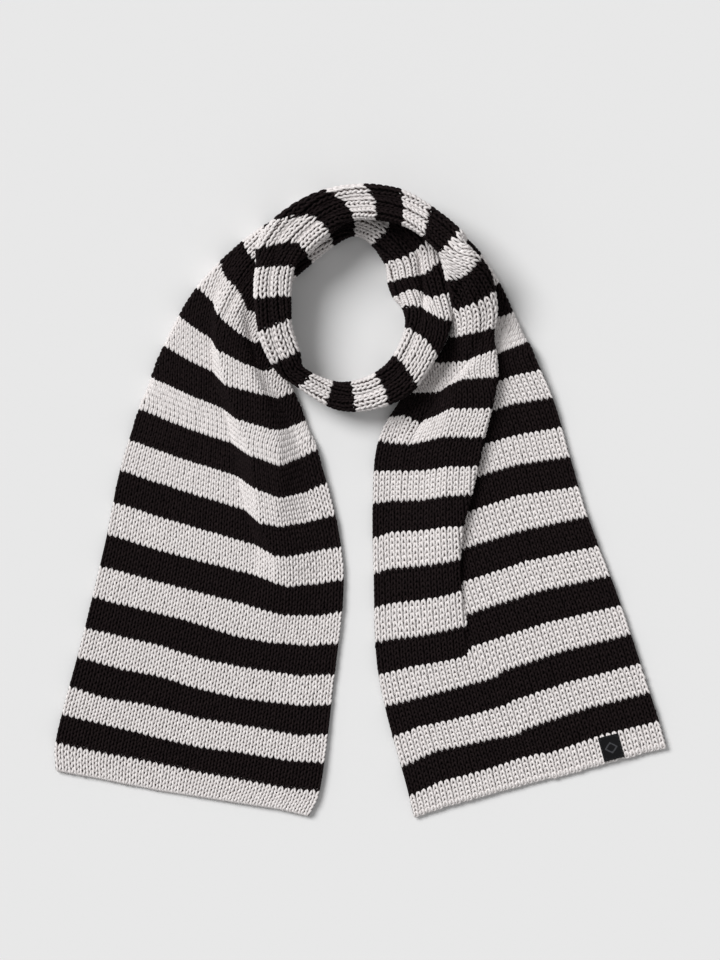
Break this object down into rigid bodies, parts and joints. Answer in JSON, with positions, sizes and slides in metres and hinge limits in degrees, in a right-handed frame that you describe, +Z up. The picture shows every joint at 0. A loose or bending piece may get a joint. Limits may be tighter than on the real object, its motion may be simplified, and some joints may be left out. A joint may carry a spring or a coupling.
{
  "type": "knitted scarf",
  "caption": "Long striped rib-knit scarf laid flat and wrapped round to leave a neck opening, with two flat tails and a sewn label on one hem.",
  "frame": {"origin": "middle of the footprint, on the surface that the scarf lies on", "axes": "+Z up from the surface, +Y from the tails towards the back of the neck, +X towards the tail that carries the label"},
  "size_m": [0.6638, 0.6804, 0.0675],
  "materials": {
    "light_yarn": "chunky rib-knit wool blend, matte and slightly fuzzy",
    "dark_yarn": "chunky rib-knit wool blend, matte and slightly fuzzy",
    "label_cloth": "matte woven patch with a raised plain border and a small diamond",
    "label_thread": "matte sewing thread"
  },
  "bodies": {
    "neck_loop": {"left_shoulder_light": "light_yarn", "left_shoulder_dark": "dark_yarn", "back_under_light": "light_yarn", "back_under_dark": "dark_yarn", "right_limb_light": "light_yarn", "right_limb_dark": "dark_yarn", "front_light": "light_yarn", "front_dark": "dark_yarn", "left_limb_light": "light_yarn", "left_limb_dark": "dark_yarn", "back_over_light": "light_yarn", "back_over_dark": "dark_yarn", "right_shoulder_light": "light_yarn", "right_shoulder_dark": "dark_yarn"},
    "left_tail_upper": {"left_middle_light": "light_yarn", "left_middle_dark": "dark_yarn"},
    "left_tail_end": {"cast_on_edge": "light_yarn", "left_hem": "light_yarn", "left_end_light": "light_yarn", "left_end_dark": "dark_yarn"},
    "right_tail_upper": {"right_middle_light": "light_yarn", "right_middle_dark": "dark_yarn"},
    "right_tail_end": {"right_end_light": "light_yarn", "right_end_dark": "dark_yarn", "right_hem": "light_yarn", "bind_off_edge": "light_yarn", "label": "label_cloth", "label_stitching": "label_thread"}
  },
  "joints": [
    {"name": "left_lift", "type": "hinge", "parent": "neck_loop", "child": "left_tail_upper", "pos_m": [-0.14313, 0.00882, 0.006], "axis": [-0.9799, 0.1993, 0], "range_deg": [0, 30]},
    {"name": "left_end_lift", "type": "hinge", "parent": "left_tail_upper", "child": "left_tail_end", "pos_m": [-0.16263, -0.16268, 0.006], "axis": [-0.983, 0.1836, 0], "range_deg": [0, 60]},
    {"name": "right_lift", "type": "hinge", "parent": "neck_loop", "child": "right_tail_upper", "pos_m": [0.11987, 0.02332, 0.006], "axis": [-0.9732, -0.2298, 0], "range_deg": [0, 30]},
    {"name": "right_end_lift", "type": "hinge", "parent": "right_tail_upper", "child": "right_tail_end", "pos_m": [0.15037, -0.14918, 0.006], "axis": [-0.9612, -0.2757, 0], "range_deg": [0, 60]}
  ]
}
